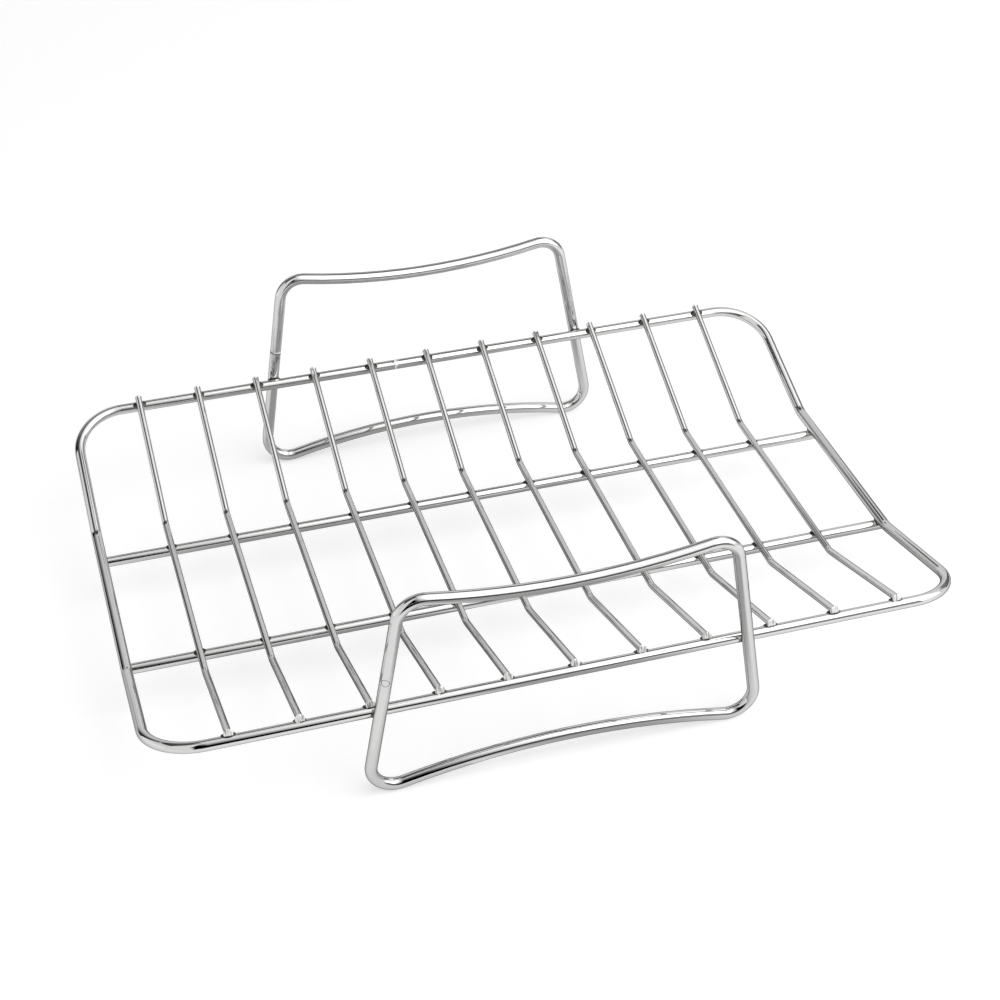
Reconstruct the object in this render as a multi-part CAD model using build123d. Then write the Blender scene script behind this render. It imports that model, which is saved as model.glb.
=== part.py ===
from build123d import *
import math
import os

# Roasting rack of welded round wire. Millimetres, X along the long side, Y front to back, Z up.
# Heights are measured from the centres of the cross rods' flat middle while it is built.
# At the end everything is moved so that the rack stands on Z = 0 with its bounding box centred.

# Wires
ROD_DIAMETER = 3.2
RIM_DIAMETER = 5.0
BAR_DIAMETER = 5.0
LOOP_DIAMETER = 5.5
WELD_DEPTH = 0.5

# Rim
RIM_HALF_LENGTH = 183.5
RIM_HALF_WIDTH = 125.0
RIM_CORNER_RADIUS = 24.0
RIM_END_BEND_RADIUS = 14.0
RIM_BACK_BEND_Y = 56.0
RIM_FRONT_BEND_Y = 48.0

# Cross rods, which form the trough
ROD_COUNT = 11
RIM_TO_END_ROD = 33.5
ROD_BEND_Y = 57.0
ROD_BEND_RADIUS = 12.0
BACK_SLOPE_ANGLE = 23.75
FRONT_SLOPE_ANGLE = 19.25
BACK_ROD_OVERHANG = 3.5
FRONT_ROD_OVERHANG = 1.5

# Support bars
BAR_Y = 40.5
BAR_OVERHANG = 2.0

# Handle loops, which are also the feet
LOOP_TOP_HALF_WIDTH = 72.0
LOOP_TOP_HEIGHT = 83.0
LOOP_TOP_DIP = 8.0
LOOP_TOP_CORNER_RADIUS = 11.0
LOOP_FOOT_HALF_WIDTH = 90.0
LOOP_FOOT_DEPTH = 25.0
LOOP_FOOT_RISE = 12.5
LOOP_FOOT_CORNER_RADIUS = 11.5
LOOP_LEAN_ANGLE = 2.5
BACK_LOOP_X = 1.0
FRONT_LOOP_X = -5.0

# Spacings and heights that follow from the wires lying on each other
rod_pitch = 2 * (RIM_HALF_LENGTH - RIM_TO_END_ROD) / (ROD_COUNT - 1)
rod_on_rim = ROD_DIAMETER / 2 + RIM_DIAMETER / 2 - WELD_DEPTH
rod_on_bar = ROD_DIAMETER / 2 + BAR_DIAMETER / 2 - WELD_DEPTH
bar_under_rim = BAR_DIAMETER / 2 + RIM_DIAMETER / 2 - WELD_DEPTH
loop_beside_rim = LOOP_DIAMETER / 2 + RIM_DIAMETER / 2 - WELD_DEPTH
slope_run = RIM_HALF_WIDTH - ROD_BEND_Y
bar_z = -rod_on_bar
rim_end_z = bar_z + bar_under_rim


def rim_side_z(slope_angle):
    """Height of the rim's centre along a long side, where the sloping rods rest on it."""
    angle = math.radians(slope_angle)
    return slope_run * math.tan(angle) - rod_on_rim / math.cos(angle)


back_rim_z = rim_side_z(BACK_SLOPE_ANGLE)
front_rim_z = rim_side_z(FRONT_SLOPE_ANGLE)


def bent_line(points, radii):
    """Path of straight runs through the points, with an arc of the given radius at each inner one."""
    corners = [Vector(*point) for point in points]
    edges = []
    run_start = corners[0]
    for index, radius in enumerate(radii, start=1):
        corner = corners[index]
        back = (corners[index - 1] - corner).normalized()
        onward = (corners[index + 1] - corner).normalized()
        inward = (back + onward).normalized()
        half_angle = math.radians(back.get_angle(onward)) / 2
        arc_start = corner + back * (radius / math.tan(half_angle))
        arc_end = corner + onward * (radius / math.tan(half_angle))
        arc_middle = corner + inward * (radius / math.sin(half_angle) - radius)
        edges.append(Edge.make_line(run_start, arc_start))
        edges.append(Edge.make_three_point_arc(arc_start, arc_middle, arc_end))
        run_start = arc_end
    edges.append(Edge.make_line(run_start, corners[-1]))
    return Wire(edges)


def round_wire(path, diameter):
    """Solid round wire along a path whose runs and arcs meet smoothly."""
    section = Plane(origin=path @ 0, z_dir=path % 0) * Circle(diameter / 2)
    return sweep(section, path=path)


def make_rim():
    """Closed rim: level short ends, and long sides raised to the tops of the slopes."""
    points = [
        (0, -RIM_HALF_WIDTH, front_rim_z),
        (RIM_HALF_LENGTH, -RIM_HALF_WIDTH, front_rim_z),
        (RIM_HALF_LENGTH, -RIM_FRONT_BEND_Y, rim_end_z),
        (RIM_HALF_LENGTH, RIM_BACK_BEND_Y, rim_end_z),
        (RIM_HALF_LENGTH, RIM_HALF_WIDTH, back_rim_z),
        (0, RIM_HALF_WIDTH, back_rim_z),
    ]
    radii = [RIM_CORNER_RADIUS, RIM_END_BEND_RADIUS, RIM_END_BEND_RADIUS, RIM_CORNER_RADIUS]
    right_half = round_wire(bent_line(points, radii), RIM_DIAMETER)
    return right_half + mirror(right_half, Plane.YZ)


def rod_end(slope_angle, overhang):
    """How far out and how high a rod ends, the overhang being past the rim's centre along the slope."""
    angle = math.radians(slope_angle)
    slope_length = slope_run * math.cos(angle) + rim_side_z(slope_angle) * math.sin(angle) + overhang
    return ROD_BEND_Y + slope_length * math.cos(angle), slope_length * math.sin(angle)


def make_rod():
    """Cross rod in the plane X = 0: a flat middle and two slopes."""
    front_y, front_z = rod_end(FRONT_SLOPE_ANGLE, FRONT_ROD_OVERHANG)
    back_y, back_z = rod_end(BACK_SLOPE_ANGLE, BACK_ROD_OVERHANG)
    points = [
        (0, -front_y, front_z),
        (0, -ROD_BEND_Y, 0),
        (0, ROD_BEND_Y, 0),
        (0, back_y, back_z),
    ]
    return round_wire(bent_line(points, [ROD_BEND_RADIUS, ROD_BEND_RADIUS]), ROD_DIAMETER)


def make_bar(y):
    """Straight bar under the flat middle of the rods, from one short end of the rim to the other."""
    half_length = RIM_HALF_LENGTH + BAR_OVERHANG
    return round_wire(Wire([Edge.make_line((-half_length, y, bar_z), (half_length, y, bar_z))]), BAR_DIAMETER)


def make_loop(side, loop_x, rim_z):
    """Upright loop against the outer face of the rim, with bowed runs. side is 1 behind, -1 in front."""
    lean = math.tan(math.radians(LOOP_LEAN_ANGLE))

    def on_loop(across, height):
        y = side * (RIM_HALF_WIDTH + loop_beside_rim + (height - rim_z) * lean)
        return Vector(loop_x + across, y, height)

    top_left = on_loop(-LOOP_TOP_HALF_WIDTH, LOOP_TOP_HEIGHT)
    top_middle = on_loop(0, LOOP_TOP_HEIGHT - LOOP_TOP_DIP)
    top_right = on_loop(LOOP_TOP_HALF_WIDTH, LOOP_TOP_HEIGHT)
    foot_right = on_loop(LOOP_FOOT_HALF_WIDTH, -LOOP_FOOT_DEPTH)
    foot_middle = on_loop(0, LOOP_FOOT_RISE - LOOP_FOOT_DEPTH)
    foot_left = on_loop(-LOOP_FOOT_HALF_WIDTH, -LOOP_FOOT_DEPTH)
    outline = Wire([
        Edge.make_three_point_arc(top_left, top_middle, top_right),
        Edge.make_line(top_right, foot_right),
        Edge.make_three_point_arc(foot_right, foot_middle, foot_left),
        Edge.make_line(foot_left, top_left),
    ])
    outline = outline.fillet_2d(LOOP_TOP_CORNER_RADIUS, outline.vertices().sort_by(Axis.Z)[-2:])
    outline = outline.fillet_2d(LOOP_FOOT_CORNER_RADIUS, outline.vertices().sort_by(Axis.Z)[:2])
    return round_wire(outline, LOOP_DIAMETER)


# The rim keeps its full round, and each wire welded to it is hollowed where it sits on it.
# The rods are hollowed over the bars in the same way.
rim = make_rim()
back_bar = make_bar(BAR_Y)
front_bar = make_bar(-BAR_Y)
rod = make_rod() - rim - back_bar - front_bar

nodes = {
    "rim_wire": rim,
    "support_bar_front": front_bar - rim,
    "support_bar_back": back_bar - rim,
    "handle_loop_front": make_loop(-1, FRONT_LOOP_X, front_rim_z) - rim,
    "handle_loop_back": make_loop(1, BACK_LOOP_X, back_rim_z) - rim,
}
for number in range(1, ROD_COUNT + 1):
    rod_x = (number - (ROD_COUNT + 1) / 2) * rod_pitch
    nodes[f"cross_rod_{number:02d}"] = Pos(rod_x, 0, 0) * rod

# Stand the rack on Z = 0, with the centre of its bounding box over the origin
whole = Compound(children=[Part(shape.wrapped) for shape in nodes.values()]).bounding_box()
to_origin = Pos(-whole.center().X, -whole.center().Y, -whole.min.Z)

os.makedirs("parts", exist_ok=True)
for name, shape in nodes.items():
    export_step(to_origin * shape, f"parts/{name}.step")
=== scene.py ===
"""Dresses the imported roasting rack: smooth bright wire, sheared rod ends, welds, and a plain studio."""

import math
import random

import bmesh
import bpy
from bpy.props import FloatProperty, FloatVectorProperty, IntProperty, PointerProperty
from mathutils import Matrix, Vector


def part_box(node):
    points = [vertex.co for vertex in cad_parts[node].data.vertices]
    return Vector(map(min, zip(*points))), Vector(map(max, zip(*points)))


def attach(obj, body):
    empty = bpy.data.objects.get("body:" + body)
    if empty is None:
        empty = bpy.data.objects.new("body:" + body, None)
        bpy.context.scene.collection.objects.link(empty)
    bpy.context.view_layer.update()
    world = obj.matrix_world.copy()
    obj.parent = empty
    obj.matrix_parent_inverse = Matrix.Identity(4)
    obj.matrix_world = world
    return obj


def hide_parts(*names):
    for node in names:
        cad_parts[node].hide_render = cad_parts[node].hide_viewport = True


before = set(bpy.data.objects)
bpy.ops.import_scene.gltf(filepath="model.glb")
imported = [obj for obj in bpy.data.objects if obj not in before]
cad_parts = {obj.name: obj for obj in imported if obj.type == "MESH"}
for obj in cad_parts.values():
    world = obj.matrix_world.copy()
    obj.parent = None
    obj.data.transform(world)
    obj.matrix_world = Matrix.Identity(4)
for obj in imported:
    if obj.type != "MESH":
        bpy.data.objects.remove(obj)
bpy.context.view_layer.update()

bl_info = {
    "name": "Roasting Rack",
    "version": (1, 0, 0),
    "blender": (4, 5, 0),
    "location": "View3D > Sidebar > Rack",
    "description": "Builds a welded wire roasting rack with its finishes and a plain studio",
    "category": "Add Mesh",
}

MM = 0.001
ROD_COUNT = sum(name.startswith("cross_rod_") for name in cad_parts)
GRAIN_LAYER = "wire_grain"
WHITE = (1, 1, 1, 1)
UP = Vector((0, 0, 1))

# Meshes: what counts as one point, and how far inside a straight run's ends a ring keeps it straight
DOUBLES_DISTANCE = 0.002 * MM
MIRROR_DISTANCE = 0.01 * MM
RUN_MARGIN = 0.4 * MM

# Cut ends: length of the head, how far its rings waver, and how much it swells
HEAD_LENGTH = 1.0 * MM
HEAD_UNEVENNESS = 0.06 * MM
FRONT_SWELL = (0.33, 0.41)
BACK_SWELL = (0.04, 0.1)

# Polished wire: fineness of the streaks and of the waver round the wire and along it
STREAK_SCALE = (5.0, 5.0, 60.0)
WAVER_SCALE = (1.2, 1.2, 110.0)
WAVER_DEPTH = 0.05 * MM

# Weld metal: how far a nugget turns in degrees, how its size varies, and other welds against it
NUGGET_TURN = 9
NUGGET_SPREAD = (0.9, 1.12)
NUGGET_ON_BAR = 0.95
BAR_END_WIDTH = 1.1
BAR_END_HEIGHT = 1.2
BEAD_HEIGHT = 1.3
FRONT_BEAD = 0.78

# Rough closing weld of the rim: drops by their turn in degrees and their shift along the wire
RIM_SEAM_DROPS = ((62, -0.6 * MM), (30, 0.5 * MM), (84, 0.9 * MM))
DROP_SIZES = (1.3 * MM, 0.6 * MM, 0.22 * MM)

# Studio: lengths in metres, places as azimuth and elevation in degrees
SENSOR_WIDTH = 36.0
FLOOR_HALF_SIZE = 4.0
FLOOR_GLOW = 0.35
SOFTBOX_WIDTH = 2.4
SOFTBOX_DISTANCE = 1.8
SOFTBOX_PLACE = (132, 48)

# Cards that the steel reflects: azimuths, elevations, distance, glow, its rise along X, Y and Z, its most
STUDIO_CARDS = {
    "sweep_behind": ((-110, 52), (-3, 43), 1.6, 1.27, (0, 0, -0.7)),
    "dark_band_left": ((-100, -20), (44, 70), 1.6, -0.28, (0, 0, 0.45)),
    "dark_band_behind": ((-20, 45), (44, 67), 1.6, -0.28, (0, 0, 0.45)),
    "dark_low_behind": ((-6, 16), (23, 33), 1.4, 0.1),
    "dark_band_left_top": ((-95, -38), (66, 82), 1.55, 0.12),
    "dim_right": ((46, 85), (-3, 30), 1.55, 0.12, (0, 0, 0.45)),
    "bright_right_top": ((50, 98), (45, 84), 1.5, 1.6),
    "dark_low_left": ((-56, -4), (14, 43), 1.5, 1.59, (2.16, 0, -0.5), 0.84),
    "dark_far_left": ((-56, -4), (-3, 14), 1.5, 2.3, (3.2, 0, -1), 1.05),
    "dark_beside_camera": ((140, 212), (-3, 24), 0.55, 0.05, (0.5, 0, 0), 0.35),
    "dark_above_camera": ((165, 215), (24, 80), 0.8, -0.4, (4, 0, 2), 1.5),
}

# Oval sheets of painted shade on the floor under the rack, which the steel reflects: middle, half sizes,
# glow in the middle
PAINTED_SHADE_SHEETS = {
    "shade_under_rack": ((-0.03, 0.01, 0.0005), (0.17, 0.19), 0.43),
    "shade_on_right": ((0.16, -0.05, 0.0006), (0.09, 0.08), 0.6),
    "shade_in_front": ((0.02, -0.3, 0.0008), (0.08, 0.3), 0.5),
}


def box_radius(node, axis):
    """Radius of a straight wire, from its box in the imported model."""
    low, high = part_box(node)
    return (high[axis] - low[axis]) / 2


def box_middle(node, axis):
    """Middle of a node along an axis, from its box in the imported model."""
    low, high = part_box(node)
    return (low[axis] + high[axis]) / 2


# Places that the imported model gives
ROD_RADIUS = box_radius("cross_rod_01", 0)
BAR_RADIUS = box_radius("support_bar_front", 2)
RIM_LOW, RIM_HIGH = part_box("rim_wire")
MIDDLE_Y = box_middle("rim_wire", 1)
ROD_FLAT_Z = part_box("cross_rod_01")[0][2] + ROD_RADIUS
BAR_Z = box_middle("support_bar_front", 2)
BAR_TOP_Z = BAR_Z + BAR_RADIUS


class RackWireSizes(bpy.types.PropertyGroup):
    """Sizes of the bent wires."""

    rim_wire_radius: FloatProperty(
        name="Rim wire radius", description="Radius of the rim's wire", default=2.5 * MM, unit="LENGTH")
    loop_wire_radius: FloatProperty(
        name="Loop wire radius", description="Radius of the loops' wire",
        default=2.75 * MM, unit="LENGTH")
    weld_depth: FloatProperty(
        name="Weld depth", description="How far two wires sink into each other at a weld",
        default=0.5 * MM, unit="LENGTH")
    wire_sides: IntProperty(
        name="Sides", description="Faces round each wire", default=36)
    bend_step: FloatProperty(
        name="Bend step", description="Angle between two rings in a bend",
        default=math.radians(5), subtype="ANGLE")
    bend_length: FloatProperty(
        name="Bend length", description="Longest stretch between two rings in a bend",
        default=12 * MM, unit="LENGTH")


class RackTroughSizes(bpy.types.PropertyGroup):
    """Sizes of the rods and the rim."""

    rod_bend_y: FloatProperty(
        name="Rod bend", description="Distance of each rod's bends from the middle",
        default=57 * MM, unit="LENGTH")
    rod_bend_radius: FloatProperty(
        name="Rod bend radius", description="Radius of the rods' bends", default=12 * MM, unit="LENGTH")
    back_slope: FloatProperty(
        name="Back slope", description="Angle of the back slope",
        default=math.radians(23.75), subtype="ANGLE")
    front_slope: FloatProperty(
        name="Front slope", description="Angle of the front slope",
        default=math.radians(19.25), subtype="ANGLE")
    back_overhang: FloatProperty(
        name="Back overhang", description="Rod past the rim's centre at the back",
        default=3.5 * MM, unit="LENGTH")
    front_overhang: FloatProperty(
        name="Front overhang", description="Rod past the rim's centre in front",
        default=1.5 * MM, unit="LENGTH")
    rim_corner_radius: FloatProperty(
        name="Rim corner radius", description="Radius of the rim's four corners",
        default=24 * MM, unit="LENGTH")
    rim_end_bend_radius: FloatProperty(
        name="Rim end bend radius", description="Radius of the bends in the rim's short ends",
        default=14 * MM, unit="LENGTH")
    rim_back_bend_y: FloatProperty(
        name="Rim back bend", description="Place of the short ends' back bend",
        default=56 * MM, unit="LENGTH")
    rim_front_bend_y: FloatProperty(
        name="Rim front bend", description="Place of the short ends' front bend",
        default=48 * MM, unit="LENGTH")


class RackLoopSizes(bpy.types.PropertyGroup):
    """Sizes of the two handle loops."""

    top_half_width: FloatProperty(
        name="Top half width", description="Half the distance between the top corners",
        default=72 * MM, unit="LENGTH")
    top_height: FloatProperty(
        name="Top height", description="Top corners over the rods' flat middle",
        default=83 * MM, unit="LENGTH")
    top_dip: FloatProperty(
        name="Top dip", description="How far the top run bows down", default=8 * MM, unit="LENGTH")
    top_corner_radius: FloatProperty(
        name="Top corner radius", description="Radius of the top corners",
        default=11 * MM, unit="LENGTH")
    foot_half_width: FloatProperty(
        name="Foot half width", description="Half the distance between the feet",
        default=90 * MM, unit="LENGTH")
    foot_depth: FloatProperty(
        name="Foot depth", description="Foot corners under the rods' flat middle",
        default=25 * MM, unit="LENGTH")
    foot_rise: FloatProperty(
        name="Foot rise", description="How far the lower run bows up", default=12.5 * MM, unit="LENGTH")
    foot_corner_radius: FloatProperty(
        name="Foot corner radius", description="Radius of the foot corners",
        default=11.5 * MM, unit="LENGTH")
    lean: FloatProperty(
        name="Lean", description="Outward lean of the loops",
        default=math.radians(2.5), subtype="ANGLE")


class RackWeldSizes(bpy.types.PropertyGroup):
    """Sizes of the weld metal and the marks."""

    nugget_half_width: FloatProperty(
        name="Nugget half width", description="Half a weld nugget, along the lower wire",
        default=3.1 * MM, unit="LENGTH")
    nugget_half_length: FloatProperty(
        name="Nugget half length", description="Half a weld nugget, along the rod",
        default=2.1 * MM, unit="LENGTH")
    nugget_half_height: FloatProperty(
        name="Nugget half height", description="Half the thickness of a weld nugget",
        default=0.75 * MM, unit="LENGTH")
    nugget_shift: FloatProperty(
        name="Nugget shift", description="How far the rim's nuggets lie inward of its top",
        default=0.5 * MM, unit="LENGTH")
    bead_half_width: FloatProperty(
        name="Bead half width", description="Half the bead beside a loop's leg",
        default=3.7 * MM, unit="LENGTH")
    bead_half_height: FloatProperty(
        name="Bead half height", description="Half the bead over and under the rim",
        default=2.8 * MM, unit="LENGTH")
    seam_place: FloatProperty(
        name="Leg seam", description="Place of the seam on the back loop's leg, from foot to top",
        default=0.623, subtype="FACTOR")
    mark_place: FloatProperty(
        name="Round mark", description="Place of the mark on the front loop's leg, from foot to top",
        default=0.612, subtype="FACTOR")
    mark_radius: FloatProperty(
        name="Mark radius", description="Radius of the round mark", default=1.7 * MM, unit="LENGTH")
    rim_seam_x: FloatProperty(
        name="Rim seam", description="Place of the rim's closing weld along its back run",
        default=-17 * MM, unit="LENGTH")


class RackFinish(bpy.types.PropertyGroup):
    """Colours and gloss of the steel."""

    steel: FloatVectorProperty(
        name="Steel", description="Colour of the polished wire", subtype="COLOR", size=3,
        min=0, max=1, default=(0.64, 0.64, 0.635))
    # Weld metal, darkened to near black as painted shade of the crevices where the wires cross
    weld: FloatVectorProperty(
        name="Weld", description="Colour of the weld metal", subtype="COLOR", size=3,
        min=0, max=1, default=(0.08, 0.079, 0.077))
    sheared: FloatVectorProperty(
        name="Sheared end", description="Colour of the torn steel on the rods' ends",
        subtype="COLOR", size=3, min=0, max=1, default=(0.93, 0.93, 0.92))
    edge_tint: FloatVectorProperty(
        name="Edge tint", description="How much the steel still reflects at a grazing angle",
        subtype="COLOR", size=3, min=0, max=1, default=(0.3, 0.3, 0.3))
    gloss_low: FloatProperty(
        name="Brightest polish", description="Roughness of the brightest streaks",
        default=0.03, subtype="FACTOR")
    gloss_high: FloatProperty(
        name="Dullest polish", description="Roughness of the dullest streaks",
        default=0.11, subtype="FACTOR")


class RackStudio(bpy.types.PropertyGroup):
    """Camera and light."""

    azimuth: FloatProperty(
        name="Azimuth", description="Turn of the camera round the rack",
        default=math.radians(-16.08), subtype="ANGLE")
    elevation: FloatProperty(
        name="Elevation", description="Height of the camera as an angle",
        default=math.radians(36.32), subtype="ANGLE")
    roll: FloatProperty(
        name="Roll", description="Tilt of the camera", default=math.radians(-0.64), subtype="ANGLE")
    distance: FloatProperty(
        name="Distance", description="From the rack to the camera", default=0.968, unit="LENGTH")
    aim_right: FloatProperty(
        name="Aim right", description="Aim to the right of the rack's middle",
        default=2.84 * MM, unit="LENGTH")
    aim_up: FloatProperty(
        name="Aim up", description="Aim over the rods' flat middle", default=18.12 * MM, unit="LENGTH")
    focal_length: FloatProperty(
        name="Focal length", description="Focal length in millimetres", default=72.27)
    softbox_strength: FloatProperty(
        name="Softbox", description="Brightness of the softbox", default=1.5)
    fill_strength: FloatProperty(
        name="Fill", description="Brightness of the room", default=0.5)
    floor_colour: FloatVectorProperty(
        name="Floor", description="Colour of the floor", subtype="COLOR", size=3,
        min=0, max=1, default=(0.8, 0.8, 0.8))


def rim_side_z(slope, wires, trough):
    """Height of the rim's centre along a long side, over the rods' flat middle."""
    run = rim_half_width(wires) - trough.rod_bend_y
    rod_on_rim = ROD_RADIUS + wires.rim_wire_radius - wires.weld_depth
    return run * math.tan(slope) - rod_on_rim / math.cos(slope)


def long_sides(trough):
    """Name, direction along Y and slope of the trough's two long sides."""
    return ("front", -1, trough.front_slope), ("back", 1, trough.back_slope)


def rim_half_width(wires):
    """Distance of the rim's long sides from the middle, at their centres."""
    return (RIM_HIGH[1] - RIM_LOW[1]) / 2 - wires.rim_wire_radius


def rim_half_length(wires):
    """Distance of the rim's short ends from the middle, at their centres."""
    return RIM_HIGH[0] - wires.rim_wire_radius


def rack_point(x, y, z):
    """A point given from the middle of the rods' flat part, in the rack's frame."""
    return Vector((x, y + MIDDLE_Y, z + ROD_FLAT_Z))


def arc(start, centre, end):
    """One bend of a path: its centre, the axis it turns about, its angle and its end."""
    from_centre, to_centre = start - centre, end - centre
    axis = from_centre.cross(to_centre).normalized()
    return {"centre": centre, "axis": axis, "angle": from_centre.angle(to_centre), "end": end}


def bent_path(points, radii):
    """Runs through the points with an arc of the given radius at each inner one."""
    path = []
    for index, radius in enumerate(radii, start=1):
        corner = points[index]
        back = (points[index - 1] - corner).normalized()
        onward = (points[index + 1] - corner).normalized()
        half_angle = back.angle(onward) / 2
        bend_start = corner + back * (radius / math.tan(half_angle))
        bend_end = corner + onward * (radius / math.tan(half_angle))
        centre = corner + (back + onward).normalized() * (radius / math.sin(half_angle))
        path.append({"end": bend_start})
        path.append(arc(bend_start, centre, bend_end))
    path.append({"end": points[-1]})
    return path


def bow_centre(half_width, height, bow):
    """Centre and radius of the bowed run through two corners, in the loop's plane."""
    radius = (half_width ** 2 + bow ** 2) / (2 * abs(bow))
    return Vector((0, height - bow + math.copysign(radius, bow))), radius


def corner_fillet(leg_foot, leg_top, centre, bow_radius, fillet_radius):
    """Centre of the arc that joins a leg and a bowed run, and where it touches each of them."""
    along = (leg_top - leg_foot).normalized()
    inward = Vector((-along.y, along.x))
    shifted = leg_foot + inward * fillet_radius
    to_bow = centre - shifted
    nearest = to_bow.dot(along)
    across = to_bow.dot(inward)
    reach = math.sqrt((bow_radius + fillet_radius) ** 2 - across ** 2)
    side = -1 if centre.y > leg_foot.y else 1
    fillet_centre = shifted + along * (nearest + side * reach)
    on_leg = fillet_centre - inward * fillet_radius
    on_bow = centre + (fillet_centre - centre).normalized() * bow_radius
    return fillet_centre, on_leg, on_bow


def start_ring(mesh, centre, direction, radius, sides):
    """First ring of a wire, square to its direction, with the grain's coordinates on it."""
    place = Matrix.Translation(centre) @ direction.to_track_quat("Z", "Y").to_matrix().to_4x4()
    ring = bmesh.ops.create_circle(mesh, segments=sides, radius=radius, matrix=place)["verts"]
    grain = mesh.verts.layers.float_vector[GRAIN_LAYER]
    for index, vert in enumerate(ring):
        turn = 2 * math.pi * index / sides
        vert[grain] = (math.cos(turn), math.sin(turn), 0)
    return ring, list({edge for vert in ring for edge in vert.link_edges})


def newest_ring(geometry):
    """A wire's last ring of vertices in new geometry, and the edges round it."""
    ring = [item for item in geometry if isinstance(item, bmesh.types.BMVert)]
    edges = [item for item in geometry if isinstance(item, bmesh.types.BMEdge)]
    return ring, [edge for edge in edges if edge.verts[0] in ring and edge.verts[1] in ring]


def grow_run(mesh, edges, offset, spread=1.0):
    """Extends the wire straight on by an offset, and scales the new ring by spread."""
    ring, edges = newest_ring(bmesh.ops.extrude_edge_only(mesh, edges=edges)["geom"])
    bmesh.ops.translate(mesh, verts=ring, vec=offset)
    if spread != 1.0:
        centre = sum((vert.co for vert in ring), Vector()) / len(ring)
        bmesh.ops.scale(mesh, verts=ring, vec=(spread,) * 3, space=Matrix.Translation(-centre))
    return ring, edges


def grow_bend(mesh, edges, bend, share):
    """Extends the wire by a share of a bend."""
    return newest_ring(bmesh.ops.spin(
        mesh, geom=edges, cent=bend["centre"], axis=bend["axis"],
        angle=bend["angle"] * share, steps=1, use_duplicate=False)["geom_last"])


def draw_wire(mesh, start, path, radius, wires):
    """Round wire from a start point along a path. Returns its first and last rings' edges."""
    first = path[0]
    direction = first["end"] - start
    if "centre" in first:
        direction = first["axis"].cross(start - first["centre"])
    ring, edges = start_ring(mesh, start, direction, radius, wires.wire_sides)
    first_edges = edges
    grain = mesh.verts.layers.float_vector[GRAIN_LAYER]
    travelled = 0
    position = start
    for part in path:
        length = (part["end"] - position).length
        shares = [RUN_MARGIN / length, 1 - 2 * RUN_MARGIN / length, RUN_MARGIN / length]
        if "centre" in part:
            length = part["angle"] * (position - part["centre"]).length
            steps = max(2, math.ceil(part["angle"] / wires.bend_step),
                        math.ceil(length / wires.bend_length))
            shares = [1 / steps] * steps
        for share in shares:
            if "centre" in part:
                ring, edges = grow_bend(mesh, edges, part, share)
            else:
                ring, edges = grow_run(mesh, edges, (part["end"] - position) * share)
            travelled += length * share
            for vert in ring:
                vert[grain] = (*vert[grain].xy, travelled)
        position = part["end"]
    return first_edges, edges


def new_wire_mesh():
    """Empty mesh with the layer that holds the grain's coordinates."""
    mesh = bmesh.new()
    mesh.verts.layers.float_vector.new(GRAIN_LAYER)
    return mesh


def new_object(mesh, name, materials):
    """Puts a mesh in the scene as an object with its materials."""
    data = bpy.data.meshes.new(name)
    mesh.to_mesh(data)
    mesh.free()
    for material in materials:
        data.materials.append(material)
    thing = bpy.data.objects.new(name, data)
    bpy.context.scene.collection.objects.link(thing)
    return thing


def finish_piece(mesh, name, materials, replaced=()):
    """Turns a mesh into a piece of the rack that rides on its one body."""
    bmesh.ops.remove_doubles(mesh, verts=mesh.verts, dist=DOUBLES_DISTANCE)
    bmesh.ops.recalc_face_normals(mesh, faces=mesh.faces)
    for face in mesh.faces:
        face.smooth = True
    piece = new_object(mesh, name, materials)
    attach(piece, "root")
    if replaced:
        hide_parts(*replaced)


def mirror_wire(mesh):
    """Adds the wire's other half across X = 0."""
    bmesh.ops.mirror(mesh, geom=mesh.verts[:] + mesh.edges[:] + mesh.faces[:],
                     merge_dist=MIRROR_DISTANCE, axis="X")


def new_material(name):
    """New material, with its nodes, its links and its Principled shader."""
    material = bpy.data.materials.new(name)
    material.use_nodes = True
    nodes, links = material.node_tree.nodes, material.node_tree.links
    return material, nodes, links, nodes["Principled BSDF"]


def add_node(nodes, kind, **values):
    """New node with values on its inputs. An underscore stands for the space in an input's name."""
    node = nodes.new(kind)
    for name, value in values.items():
        node.inputs[name.replace("_", " ")].default_value = value
    return node


def add_range(nodes, links, value, **limits):
    """Carries a value from one range to another."""
    node = add_node(nodes, "ShaderNodeMapRange", **limits)
    links.new(value, node.inputs["Value"])
    return node.outputs["Result"]


def add_noise(nodes, links, place, scale, detail):
    """Noise at a place, finer along an axis where the scale is larger."""
    stretch = add_node(nodes, "ShaderNodeMapping", Scale=scale)
    links.new(place, stretch.inputs["Vector"])
    noise = add_node(nodes, "ShaderNodeTexNoise", Scale=1.0, Detail=detail)
    links.new(stretch.outputs["Vector"], noise.inputs["Vector"])
    return noise.outputs["Fac"]


def add_bump(nodes, links, shader, height, strength, depth):
    """Raises a shader's surface by a height."""
    bump = add_node(nodes, "ShaderNodeBump", Strength=strength, Distance=depth)
    links.new(height, bump.inputs["Height"])
    links.new(bump.outputs["Normal"], shader.inputs["Normal"])


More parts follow.
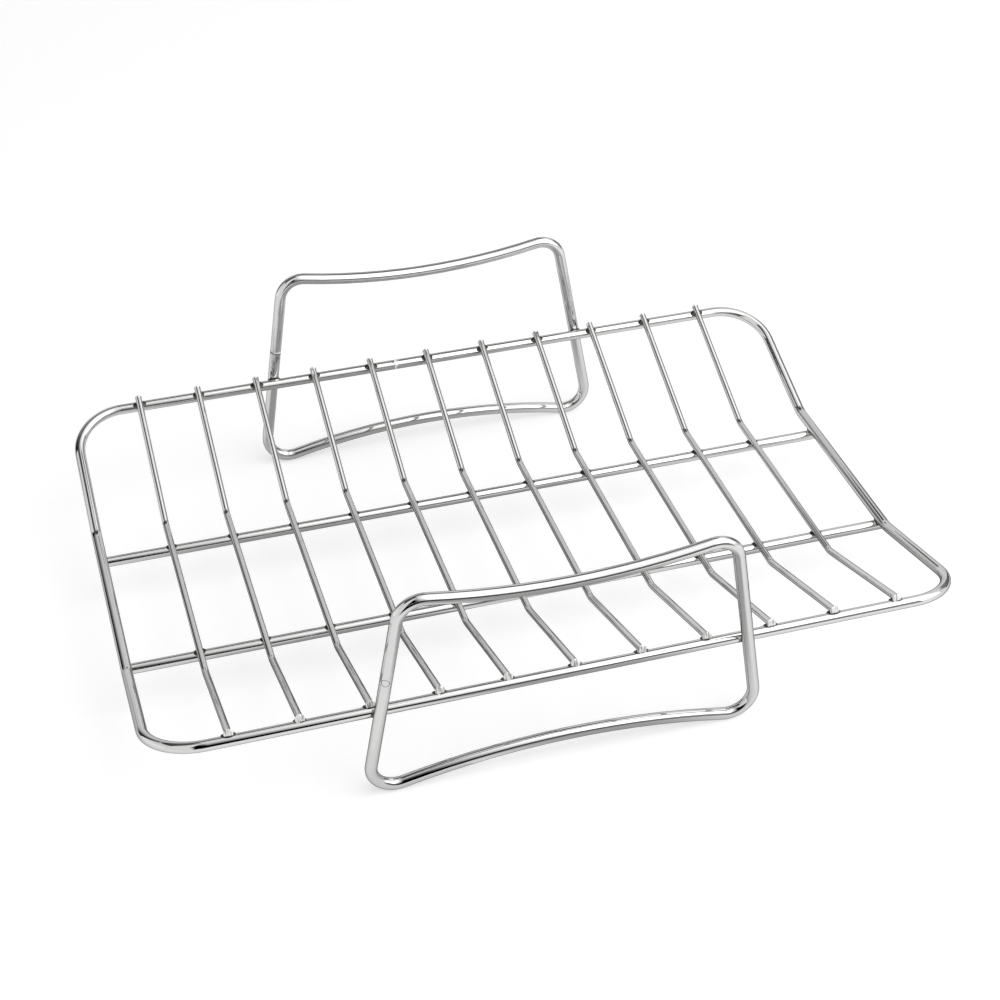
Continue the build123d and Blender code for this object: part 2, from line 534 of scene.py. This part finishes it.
def wire_steel(name, finish):
    """Bright drawn wire: neutral steel with faint lengthwise streaks that follow the wire."""
    material, nodes, links, shader = new_material(name)
    shader.inputs["Base Color"].default_value = (*finish.steel, 1)
    shader.inputs["Metallic"].default_value = 1.0
    shader.inputs["Specular Tint"].default_value = (*finish.edge_tint, 1)
    grain = nodes.new("ShaderNodeAttribute")
    grain.attribute_name = GRAIN_LAYER
    place = grain.outputs["Vector"]
    streaks = add_noise(nodes, links, place, STREAK_SCALE, detail=4.0)
    polish = add_range(nodes, links, streaks, From_Min=0.3, From_Max=0.7,
                       To_Min=finish.gloss_low, To_Max=finish.gloss_high)
    links.new(polish, shader.inputs["Roughness"])
    waver = add_noise(nodes, links, place, WAVER_SCALE, detail=2.0)
    add_bump(nodes, links, shader, waver, strength=0.25, depth=WAVER_DEPTH)
    return material


def rough_steel(name, colour, dark_share, metallic, roughness, lump_sizes, depth):
    """Unpolished steel with small lumps or streaks, for weld metal and cut ends."""
    material, nodes, links, shader = new_material(name)
    shader.inputs["Metallic"].default_value = metallic
    shader.inputs["Specular Tint"].default_value = (0.5, 0.5, 0.5, 1)
    place = nodes.new("ShaderNodeTexCoord")
    scale = [1 / size for size in lump_sizes]
    lumps = add_noise(nodes, links, place.outputs["Object"], scale, detail=3.0)
    stain = add_range(nodes, links, lumps, From_Min=0.36, From_Max=0.5)
    blend = nodes.new("ShaderNodeMix")
    blend.data_type = "RGBA"
    blend.inputs["A"].default_value = (*(dark_share * level for level in colour), 1)
    blend.inputs["B"].default_value = (*colour, 1)
    links.new(stain, blend.inputs["Factor"])
    links.new(blend.outputs["Result"], shader.inputs["Base Color"])
    dullness = add_range(nodes, links, lumps, To_Min=roughness * 0.7, To_Max=roughness * 1.3)
    links.new(dullness, shader.inputs["Roughness"])
    add_bump(nodes, links, shader, lumps, strength=0.8, depth=depth)
    return material


def steel_material(context):
    """The polished wire's material, made once."""
    return bpy.data.materials.get("polished_wire") or wire_steel("polished_wire", context.scene.rack_finish)


def weld_and_painted_shade_material(context):
    """The weld metal's material, made once. Its near-black colour is partly painted shade of the crevices
    where the wires cross.
    """
    return bpy.data.materials.get("weld_metal_and_painted_shade") or rough_steel(
        "weld_metal_and_painted_shade", context.scene.rack_finish.weld, dark_share=0.5, metallic=1.0,
        roughness=0.3, lump_sizes=(0.9 * MM,) * 3, depth=0.12 * MM)


def sheared_material(context):
    """The sheared ends' material, made once."""
    return bpy.data.materials.get("sheared_steel") or rough_steel(
        "sheared_steel", context.scene.rack_finish.sheared, dark_share=0.3, metallic=0.35,
        roughness=0.4, lump_sizes=(0.9 * MM, 6 * MM, 6 * MM), depth=0.15 * MM)


class RACK_OT_rim(bpy.types.Operator):
    """Bend and close the rim wire"""

    bl_idname = "rack.rim"
    bl_label = "Rim"

    def execute(self, context):
        wires, trough = context.scene.rack_wires, context.scene.rack_trough
        half_length, half_width = rim_half_length(wires), rim_half_width(wires)
        back_z = rim_side_z(trough.back_slope, wires, trough)
        front_z = rim_side_z(trough.front_slope, wires, trough)
        end_z = RIM_LOW[2] + wires.rim_wire_radius - ROD_FLAT_Z
        points = [
            rack_point(0, -half_width, front_z),
            rack_point(half_length, -half_width, front_z),
            rack_point(half_length, -trough.rim_front_bend_y, end_z),
            rack_point(half_length, trough.rim_back_bend_y, end_z),
            rack_point(half_length, half_width, back_z),
            rack_point(0, half_width, back_z),
        ]
        radii = [trough.rim_corner_radius, trough.rim_end_bend_radius,
                 trough.rim_end_bend_radius, trough.rim_corner_radius]
        mesh = new_wire_mesh()
        draw_wire(mesh, points[0], bent_path(points, radii), wires.rim_wire_radius, wires)
        mirror_wire(mesh)
        finish_piece(mesh, "rim_of_bent_wire", [steel_material(context)], ["rim_wire"])
        return {"FINISHED"}


def upset_end(mesh, edges, outward, swell, chance):
    """Closes a wire's end with the swollen, rounded and uneven head that cutting and welding leave."""
    # Each ring's share of the head's length, and its width as a share of the wire's
    head = (
        (0.1, 1.0),
        (0.2, 1 + 0.8 * swell),
        (0.2, 1 + swell),
        (0.25, 0.92 + 0.9 * swell),
        (0.15, 0.74 + 0.7 * swell),
        (0.1, 0.4 + 0.4 * swell),
    )
    width_before = 1.0
    polished = set(mesh.faces)
    for share, width in head:
        ring, edges = grow_run(mesh, edges, outward * share * HEAD_LENGTH, width / width_before)
        width_before = width
        if width > 1:
            for vert in ring:
                vert.co += outward * chance.uniform(-HEAD_UNEVENNESS, HEAD_UNEVENNESS)
            # A head that hardly swells stays polished up to its widest ring
            if swell <= BACK_SWELL[1]:
                polished = set(mesh.faces)
    face = bmesh.ops.contextual_create(mesh, geom=edges)["faces"][0]
    bmesh.ops.poke(mesh, faces=[face])
    for face in mesh.faces:
        if face not in polished:
            face.material_index = 1


class RACK_OT_cross_rods(bpy.types.Operator):
    """Bend the cross rods and cut their ends"""

    bl_idname = "rack.cross_rods"
    bl_label = "Cross rods"

    def execute(self, context):
        wires, trough = context.scene.rack_wires, context.scene.rack_trough
        front_y, front_z = rod_end(trough.front_slope, trough.front_overhang, wires, trough)
        back_y, back_z = rod_end(trough.back_slope, trough.back_overhang, wires, trough)
        chance = random.Random(11)
        for number in range(1, ROD_COUNT + 1):
            node = f"cross_rod_{number:02d}"
            rod_x = box_middle(node, 0)
            points = [
                rack_point(rod_x, -front_y, front_z),
                rack_point(rod_x, -trough.rod_bend_y, 0),
                rack_point(rod_x, trough.rod_bend_y, 0),
                rack_point(rod_x, back_y, back_z),
            ]
            mesh = new_wire_mesh()
            front_edges, back_edges = draw_wire(
                mesh, points[0], bent_path(points, [trough.rod_bend_radius] * 2), ROD_RADIUS, wires)
            forward = (points[0] - points[1]).normalized()
            backward = (points[3] - points[2]).normalized()
            upset_end(mesh, front_edges, forward, chance.uniform(*FRONT_SWELL), chance)
            upset_end(mesh, back_edges, backward, chance.uniform(*BACK_SWELL), chance)
            finish_piece(mesh, f"cross_rod_wire_{number:02d}",
                         [steel_material(context), sheared_material(context)], [node])
        return {"FINISHED"}


def rod_end(slope, overhang, wires, trough):
    """How far out and how high a rod's end lies from the middle of its flat part."""
    run = rim_half_width(wires) - trough.rod_bend_y
    length = run * math.cos(slope) + rim_side_z(slope, wires, trough) * math.sin(slope) + overhang
    length -= HEAD_LENGTH
    return trough.rod_bend_y + length * math.cos(slope), length * math.sin(slope)


class RACK_OT_support_bars(bpy.types.Operator):
    """Cut the two straight bars under the rods"""

    bl_idname = "rack.support_bars"
    bl_label = "Support bars"

    def execute(self, context):
        wires = context.scene.rack_wires
        chance = random.Random(2)
        for side in ("front", "back"):
            node = f"support_bar_{side}"
            low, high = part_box(node)
            bar_y = box_middle(node, 1)
            start = Vector((low[0] + HEAD_LENGTH, bar_y, BAR_Z))
            end = Vector((high[0] - HEAD_LENGTH, bar_y, BAR_Z))
            mesh = new_wire_mesh()
            left, right = draw_wire(mesh, start, [{"end": end}], BAR_RADIUS, wires)
            upset_end(mesh, left, Vector((-1, 0, 0)), 0.0, chance)
            upset_end(mesh, right, Vector((1, 0, 0)), 0.0, chance)
            finish_piece(mesh, f"support_bar_wire_{side}",
                         [steel_material(context), sheared_material(context)], [node])
        return {"FINISHED"}


class RACK_OT_handle_loops(bpy.types.Operator):
    """Bend the two loops that are handles and feet"""

    bl_idname = "rack.handle_loops"
    bl_label = "Handle loops"

    def execute(self, context):
        wires, trough, loop = context.scene.rack_wires, context.scene.rack_trough, context.scene.rack_loops
        for name, side, slope in long_sides(trough):
            node = f"handle_loop_{name}"
            loop_x = box_middle(node, 0)
            on_loop = loop_plane(side, slope, wires, trough, loop)
            leg_foot, leg_top = leg_line(loop)
            foot_bow, foot_bow_radius = bow_centre(loop.foot_half_width, -loop.foot_depth, -loop.foot_rise)
            top_bow, top_bow_radius = bow_centre(loop.top_half_width, loop.top_height, loop.top_dip)
            foot_corner, foot_leg, foot_run = corner_fillet(
                leg_foot, leg_top, foot_bow, foot_bow_radius, loop.foot_corner_radius)
            top_corner, top_leg, top_run = corner_fillet(
                leg_foot, leg_top, top_bow, top_bow_radius, loop.top_corner_radius)
            foot_middle = Vector((0, loop.foot_rise - loop.foot_depth))
            top_middle = Vector((0, loop.top_height - loop.top_dip))
            path = [
                arc(on_loop(foot_middle), on_loop(foot_bow), on_loop(foot_run)),
                arc(on_loop(foot_run), on_loop(foot_corner), on_loop(foot_leg)),
                {"end": on_loop(top_leg)},
                arc(on_loop(top_leg), on_loop(top_corner), on_loop(top_run)),
                arc(on_loop(top_run), on_loop(top_bow), on_loop(top_middle)),
            ]
            mesh = new_wire_mesh()
            draw_wire(mesh, on_loop(foot_middle), path, wires.loop_wire_radius, wires)
            mirror_wire(mesh)
            bmesh.ops.translate(mesh, verts=mesh.verts, vec=(loop_x, 0, 0))
            finish_piece(mesh, f"handle_loop_wire_{name}", [steel_material(context)], [node])
        return {"FINISHED"}


def nugget(mesh, contact, normal, sizes, chance):
    """Flattened drop of weld metal squeezed out between two crossing wires."""
    along = Vector((1, 0, 0))
    turn = Matrix((along, normal.cross(along), normal)).transposed().to_4x4()
    yaw = Matrix.Rotation(math.radians(chance.uniform(-NUGGET_TURN, NUGGET_TURN)), 4, "Z")
    swell = [size * chance.uniform(*NUGGET_SPREAD) for size in sizes]
    shape = Matrix.Diagonal((*swell, 1))
    place = Matrix.Translation(contact) @ turn @ yaw @ shape
    bmesh.ops.create_uvsphere(mesh, u_segments=20, v_segments=10, radius=1.0, matrix=place)


def welds_of_rods(mesh, wires, trough, sizes, chance):
    """Nuggets where each rod crosses the rim's long sides and the two bars."""
    half_sizes = Vector((sizes.nugget_half_width, sizes.nugget_half_length, sizes.nugget_half_height))
    for number in range(1, ROD_COUNT + 1):
        rod_x = box_middle(f"cross_rod_{number:02d}", 0)
        for _, side, slope in long_sides(trough):
            normal = Vector((0, -side * math.sin(slope), math.cos(slope)))
            rim_z = rim_side_z(slope, wires, trough)
            contact = rack_point(rod_x, side * rim_half_width(wires), rim_z)
            contact += normal * (wires.rim_wire_radius - wires.weld_depth / 2)
            contact.y -= side * sizes.nugget_shift
            nugget(mesh, contact, normal, half_sizes, chance)
        for bar in ("front", "back"):
            contact = Vector((rod_x, box_middle(f"support_bar_{bar}", 1), BAR_TOP_Z - wires.weld_depth / 2))
            nugget(mesh, contact, UP, half_sizes * NUGGET_ON_BAR, chance)


def welds_of_bars(mesh, wires, sizes, chance):
    """Nuggets where the bars' ends sit under the rim's short ends."""
    half_sizes = (sizes.nugget_half_length, sizes.nugget_half_width * BAR_END_WIDTH,
                  sizes.nugget_half_height * BAR_END_HEIGHT)
    for bar in ("front", "back"):
        bar_y = box_middle(f"support_bar_{bar}", 1)
        for side in (-1, 1):
            contact = Vector((side * rim_half_length(wires), bar_y, BAR_TOP_Z - wires.weld_depth / 2))
            nugget(mesh, contact, UP, half_sizes, chance)


def leg_line(loop):
    """Foot corner and top corner of a loop's right leg, in the loop's plane."""
    return Vector((loop.foot_half_width, -loop.foot_depth)), Vector((loop.top_half_width, loop.top_height))


def leg_x(loop, height):
    """How far from the loop's middle its leg is at a height."""
    foot, top = leg_line(loop)
    share = (height - foot.y) / (top.y - foot.y)
    return foot.x + (top.x - foot.x) * share


def loop_plane(side, slope, wires, trough, loop):
    """Places a point of a loop's flat outline on the loop that leans against the rim."""
    contact_z = rim_side_z(slope, wires, trough)
    contact_y = rim_half_width(wires) + wires.rim_wire_radius + wires.loop_wire_radius - wires.weld_depth

    def on_loop(flat):
        y = contact_y + (flat.y - contact_z) * math.tan(loop.lean)
        return rack_point(flat.x, side * y, flat.y)

    return on_loop


def welds_of_loops(mesh, wires, trough, loop, sizes, chance):
    """Beads where the loops' legs stand against the rim, smaller in front."""
    bead = Vector((sizes.bead_half_width, sizes.bead_half_height, sizes.nugget_half_height * BEAD_HEIGHT))
    for name, side, slope in long_sides(trough):
        share = FRONT_BEAD if name == "front" else 1.0
        loop_x = box_middle(f"handle_loop_{name}", 0)
        rim_z = rim_side_z(slope, wires, trough)
        for leg in (-1, 1):
            x = loop_x + leg * leg_x(loop, rim_z)
            contact = rack_point(x, side * (rim_half_width(wires) + wires.rim_wire_radius), rim_z)
            nugget(mesh, contact, Vector((0, side, 0)), bead * share, chance)


class RACK_OT_welds(bpy.types.Operator):
    """Squeeze out weld metal where the wires cross"""

    bl_idname = "rack.welds"
    bl_label = "Welds"

    def execute(self, context):
        scene = context.scene
        wires, trough, loop, sizes = scene.rack_wires, scene.rack_trough, scene.rack_loops, scene.rack_welds
        chance = random.Random(5)
        for name, lay_welds, settings in (
                ("welds_of_rods", welds_of_rods, (wires, trough, sizes)),
                ("welds_of_bars", welds_of_bars, (wires, sizes)),
                ("welds_of_loops", welds_of_loops, (wires, trough, loop, sizes))):
            mesh = bmesh.new()
            lay_welds(mesh, *settings, chance)
            finish_piece(mesh, name, [weld_and_painted_shade_material(context)])
        return {"FINISHED"}


def ring_on_wire(mesh, centre, direction, wire_radius, width, rise, sides=36):
    """Low round ring of metal round a wire."""
    turn = Matrix.Translation(centre) @ direction.to_track_quat("Z", "Y").to_matrix().to_4x4()
    section = bmesh.ops.create_circle(
        mesh, segments=10, radius=1.0,
        matrix=turn @ Matrix.Translation((wire_radius, 0, 0)) @ Matrix.Rotation(math.pi / 2, 4, "X")
        @ Matrix.Diagonal((rise, width / 2, 1, 1)))["verts"]
    edges = list({edge for vert in section for edge in vert.link_edges})
    bmesh.ops.spin(mesh, geom=edges, cent=centre, axis=direction,
                   angle=2 * math.pi, steps=sides, use_merge=True)


def leg_of_loop(context, name, side, slope):
    """Foot and top of a loop's left leg in the rack's frame."""
    scene = context.scene
    loop = scene.rack_loops
    on_loop = loop_plane(side, slope, scene.rack_wires, scene.rack_trough, loop)
    shift = Vector((box_middle(f"handle_loop_{name}", 0), 0, 0))
    foot, top = leg_line(loop)
    return on_loop(Vector((-foot.x, foot.y))) + shift, on_loop(Vector((-top.x, top.y))) + shift


def leg_seam(context):
    """Thin bright seam round the back loop's left leg, with a dull line under it."""
    wires, sizes = context.scene.rack_wires, context.scene.rack_welds
    foot, top = leg_of_loop(context, "back", 1, context.scene.rack_trough.back_slope)
    direction = (top - foot).normalized()
    seam = foot.lerp(top, sizes.seam_place)
    dull_line = seam - direction * 0.62 * MM
    mesh = bmesh.new()
    ring_on_wire(mesh, seam, direction, wires.loop_wire_radius, width=0.7 * MM, rise=0.16 * MM)
    bright_faces = len(mesh.faces)
    ring_on_wire(mesh, dull_line, direction, wires.loop_wire_radius, width=0.4 * MM, rise=0.05 * MM)
    mesh.faces.ensure_lookup_table()
    for face in mesh.faces[bright_faces:]:
        face.material_index = 1
    finish_piece(mesh, "seam_on_back_loop", [sheared_material(context), weld_and_painted_shade_material(context)])


def rim_seam(context):
    """Rough closing weld of the rim, on its back run between two rods."""
    wires, trough, sizes = context.scene.rack_wires, context.scene.rack_trough, context.scene.rack_welds
    chance = random.Random(9)
    back_z = rim_side_z(trough.back_slope, wires, trough)
    centre = rack_point(sizes.rim_seam_x, rim_half_width(wires), back_z)
    mesh = bmesh.new()
    ring_on_wire(mesh, centre, Vector((1, 0, 0)), wires.rim_wire_radius, width=0.9 * MM, rise=0.12 * MM)
    for degrees, shift in RIM_SEAM_DROPS:
        turn = math.radians(degrees)
        outward = Vector((0, -math.cos(turn), math.sin(turn)))
        place = centre + outward * wires.rim_wire_radius + Vector((shift, 0, 0))
        nugget(mesh, place, outward, DROP_SIZES, chance)
    finish_piece(mesh, "seam_on_rim", [sheared_material(context)])


def round_mark(context):
    """Ring of dull metal that a press left on the front of the front loop's left leg."""
    wires, sizes = context.scene.rack_wires, context.scene.rack_welds
    foot, top = leg_of_loop(context, "front", -1, context.scene.rack_trough.front_slope)
    direction = (top - foot).normalized()
    place = foot.lerp(top, sizes.mark_place)
    facing = Vector((-0.25, -0.85, 0.45))
    outward = (facing - direction * facing.dot(direction)).normalized()
    turn = Matrix((direction.cross(outward), direction, outward)).transposed().to_4x4()
    mesh = bmesh.new()
    ring_on_wire(mesh, Vector(), UP, sizes.mark_radius,
                 width=0.12 * MM, rise=0.1 * MM, sides=48)
    radius = wires.loop_wire_radius
    for vert in mesh.verts:
        vert.co.z += math.sqrt(radius ** 2 - vert.co.x ** 2)
    bmesh.ops.transform(mesh, verts=mesh.verts, matrix=Matrix.Translation(place) @ turn)
    finish_piece(mesh, "mark_on_front_loop", [weld_and_painted_shade_material(context)])


class RACK_OT_seams(bpy.types.Operator):
    """Leave the seams and marks of the wires' making"""

    bl_idname = "rack.seams"
    bl_label = "Seams and marks"

    def execute(self, context):
        leg_seam(context)
        rim_seam(context)
        round_mark(context)
        return {"FINISHED"}


def studio_direction(azimuth, elevation):
    """Unit vector from the rack. Azimuth 0 is behind it, 90 to its right, in degrees."""
    azimuth, elevation = math.radians(azimuth), math.radians(elevation)
    return Vector((math.sin(azimuth) * math.cos(elevation),
                   math.cos(azimuth) * math.cos(elevation), math.sin(elevation)))


def studio_card(name, azimuths, elevations, radius, glow, rise=(0, 0, 0), most=2.0):
    """Curved card round the rack that only reflections see. Its glow changes by rise along each axis."""
    mesh = bmesh.new()
    foot = mesh.verts.new(studio_direction(azimuths[0], elevations[0]) * radius)
    bmesh.ops.spin(mesh, geom=[foot], cent=(0, 0, 0), axis=studio_direction(azimuths[0] + 90, 0),
                   angle=math.radians(elevations[1] - elevations[0]), steps=6)
    bmesh.ops.spin(mesh, geom=mesh.verts[:] + mesh.edges[:], cent=(0, 0, 0), axis=(0, 0, 1),
                   angle=-math.radians(azimuths[1] - azimuths[0]), steps=12)
    material, nodes, links, place = glow_material(name)
    along = nodes.new("ShaderNodeVectorMath")
    along.operation = "DOT_PRODUCT"
    along.inputs[1].default_value = Vector(rise) / radius
    links.new(place, along.inputs[0])
    fade = add_range(nodes, links, along.outputs["Value"],
                     From_Min=-glow, From_Max=most - glow, To_Max=most)
    links.new(fade, nodes["Emission"].inputs["Strength"])
    only_reflected(name, mesh, material)


def painted_shade_sheet(name, centre, half_sizes, glow_middle):
    """Oval sheet of painted shade on the floor under the rack, that only reflections see, darkest in its
    middle.
    """
    mesh = bmesh.new()
    bmesh.ops.create_circle(mesh, cap_ends=True, segments=48, radius=1.0)
    bmesh.ops.scale(mesh, verts=mesh.verts, vec=(half_sizes[0], half_sizes[1], 1))
    bmesh.ops.translate(mesh, verts=mesh.verts, vec=centre)
    material, nodes, links, place = glow_material(name)
    shape = nodes.new("ShaderNodeMapping")
    shape.inputs["Location"].default_value = (-centre[0] / half_sizes[0], -centre[1] / half_sizes[1], 0)
    shape.inputs["Scale"].default_value = (1 / half_sizes[0], 1 / half_sizes[1], 0)
    links.new(place, shape.inputs["Vector"])
    outward = nodes.new("ShaderNodeVectorMath")
    outward.operation = "LENGTH"
    links.new(shape.outputs["Vector"], outward.inputs[0])
    fade = add_range(nodes, links, outward.outputs["Value"],
                     From_Min=0.5, To_Min=glow_middle, To_Max=1.0)
    fade.node.interpolation_type = "SMOOTHSTEP"
    links.new(fade, nodes["Emission"].inputs["Strength"])
    only_reflected(name, mesh, material)


def glow_material(name):
    """Material that only glows, and the place on it."""
    material = bpy.data.materials.new(name)
    material.use_nodes = True
    nodes, links = material.node_tree.nodes, material.node_tree.links
    nodes.clear()
    place = nodes.new("ShaderNodeTexCoord")
    glow = add_node(nodes, "ShaderNodeEmission", Color=WHITE)
    output = nodes.new("ShaderNodeOutputMaterial")
    links.new(glow.outputs["Emission"], output.inputs["Surface"])
    return material, nodes, links, place.outputs["Object"]


def only_reflected(name, mesh, material):
    """Puts a card on the stage, where the steel reflects it and nothing else sees it."""
    card = new_object(mesh, name, [material])
    card.visible_camera = False
    card.visible_diffuse = False
    card.visible_transmission = False
    card.visible_shadow = False


def white_to_the_eye(nodes, links, unseen, seen):
    """Shader that is one thing to the camera, reflections and glass, and another to the light."""
    path = nodes.new("ShaderNodeLightPath")
    any_view = path.outputs["Is Camera Ray"]
    for ray in ("Is Glossy Ray", "Is Transmission Ray"):
        either = nodes.new("ShaderNodeMath")
        either.operation = "MAXIMUM"
        links.new(any_view, either.inputs[0])
        links.new(path.outputs[ray], either.inputs[1])
        any_view = either.outputs["Value"]
    mix = nodes.new("ShaderNodeMixShader")
    links.new(any_view, mix.inputs["Fac"])
    links.new(unseen, mix.inputs[1])
    links.new(seen, mix.inputs[2])
    return mix.outputs["Shader"]


class RACK_OT_stage(bpy.types.Operator):
    """Set up the floor, the light and the camera"""

    bl_idname = "rack.stage"
    bl_label = "Stage"

    def execute(self, context):
        scene, studio = context.scene, context.scene.rack_studio
        scene.view_settings.view_transform = "Standard"
        self.make_world(scene, studio)
        self.make_floor(studio)
        self.make_lights(scene, studio)
        self.make_camera(scene, studio)
        return {"FINISHED"}

    def make_world(self, scene, studio):
        world = bpy.data.worlds.new("studio_room")
        scene.world = world
        world.use_nodes = True
        nodes, links = world.node_tree.nodes, world.node_tree.links
        nodes.clear()
        fill = add_node(nodes, "ShaderNodeBackground", Color=WHITE, Strength=studio.fill_strength)
        white = add_node(nodes, "ShaderNodeBackground", Color=WHITE, Strength=1.0)
        output = nodes.new("ShaderNodeOutputWorld")
        surface = white_to_the_eye(nodes, links, fill.outputs["Background"], white.outputs["Background"])
        links.new(surface, output.inputs["Surface"])

    def make_floor(self, studio):
        mesh = bmesh.new()
        bmesh.ops.create_grid(mesh, x_segments=1, y_segments=1, size=FLOOR_HALF_SIZE)
        material, nodes, links, shader = new_material("pale_floor")
        shader.inputs["Base Color"].default_value = (*studio.floor_colour, 1)
        shader.inputs["Roughness"].default_value = 0.9
        glow = add_node(nodes, "ShaderNodeEmission", Strength=FLOOR_GLOW)
        both = nodes.new("ShaderNodeAddShader")
        links.new(shader.outputs["BSDF"], both.inputs[0])
        links.new(glow.outputs["Emission"], both.inputs[1])
        surface = white_to_the_eye(nodes, links, shader.outputs["BSDF"], both.outputs["Shader"])
        links.new(surface, nodes["Material Output"].inputs["Surface"])
        floor = new_object(mesh, "studio_floor", [material])

    def make_lights(self, scene, studio):
        outward = studio_direction(*SOFTBOX_PLACE)
        light = bpy.data.lights.new("softbox", "AREA")
        light.shape = "SQUARE"
        light.size = SOFTBOX_WIDTH
        light.energy = studio.softbox_strength * math.pi * SOFTBOX_WIDTH ** 2
        softbox = bpy.data.objects.new("softbox", light)
        scene.collection.objects.link(softbox)
        softbox.location = outward * SOFTBOX_DISTANCE
        softbox.rotation_euler = outward.to_track_quat("Z", "Y").to_euler()
        for name, card in STUDIO_CARDS.items():
            studio_card(name, *card)
        for name, sheet in PAINTED_SHADE_SHEETS.items():
            painted_shade_sheet(name, *sheet)

    def make_camera(self, scene, studio):
        azimuth, elevation, roll = studio.azimuth, studio.elevation, studio.roll
        back = Vector((math.sin(azimuth) * math.cos(elevation),
                       -math.cos(azimuth) * math.cos(elevation), math.sin(elevation)))
        level_right = (-back).cross(UP).normalized()
        level_up = level_right.cross(-back)
        right = level_right * math.cos(roll) + level_up * math.sin(roll)
        up = level_up * math.cos(roll) - level_right * math.sin(roll)
        aim = Vector((0, MIDDLE_Y, ROD_FLAT_Z)) + right * studio.aim_right + up * studio.aim_up
        data = bpy.data.cameras.new("photo_camera")
        data.sensor_width = SENSOR_WIDTH
        data.lens = studio.focal_length
        data.clip_start = 0.05
        data.clip_end = 20
        camera = bpy.data.objects.new("photo_camera", data)
        scene.collection.objects.link(camera)
        turn = Matrix((right, up, back)).transposed().to_4x4()
        camera.matrix_world = Matrix.Translation(aim + back * studio.distance) @ turn
        scene.camera = camera


class RACK_PT_panel(bpy.types.Panel):
    """Lists the rack's pieces"""

    bl_idname = "RACK_PT_panel"
    bl_label = "Roasting rack"
    bl_space_type = "VIEW_3D"
    bl_region_type = "UI"
    bl_category = "Rack"

    def draw(self, context):
        for operator in PIECE_OPERATORS:
            self.layout.operator(operator.bl_idname)


PIECE_OPERATORS = (
    RACK_OT_stage,
    RACK_OT_rim,
    RACK_OT_cross_rods,
    RACK_OT_support_bars,
    RACK_OT_handle_loops,
    RACK_OT_welds,
    RACK_OT_seams,
)
SETTINGS = {
    "rack_wires": RackWireSizes,
    "rack_trough": RackTroughSizes,
    "rack_loops": RackLoopSizes,
    "rack_welds": RackWeldSizes,
    "rack_finish": RackFinish,
    "rack_studio": RackStudio,
}


def register():
    """Makes the settings, the operators and the panel known."""
    for settings in SETTINGS.values():
        bpy.utils.register_class(settings)
    for operator in PIECE_OPERATORS:
        bpy.utils.register_class(operator)
    bpy.utils.register_class(RACK_PT_panel)
    for name, settings in SETTINGS.items():
        setattr(bpy.types.Scene, name, PointerProperty(type=settings))


def unregister():
    """Takes them away again."""
    for name in SETTINGS:
        delattr(bpy.types.Scene, name)
    bpy.utils.unregister_class(RACK_PT_panel)
    for operator in reversed(PIECE_OPERATORS):
        bpy.utils.unregister_class(operator)
    for settings in reversed(SETTINGS.values()):
        bpy.utils.unregister_class(settings)


def main():
    """Builds every piece in order."""
    register()
    bpy.ops.rack.stage()
    bpy.ops.rack.rim()
    bpy.ops.rack.cross_rods()
    bpy.ops.rack.support_bars()
    bpy.ops.rack.handle_loops()
    bpy.ops.rack.welds()
    bpy.ops.rack.seams()


if __name__ == "__main__":
    main()
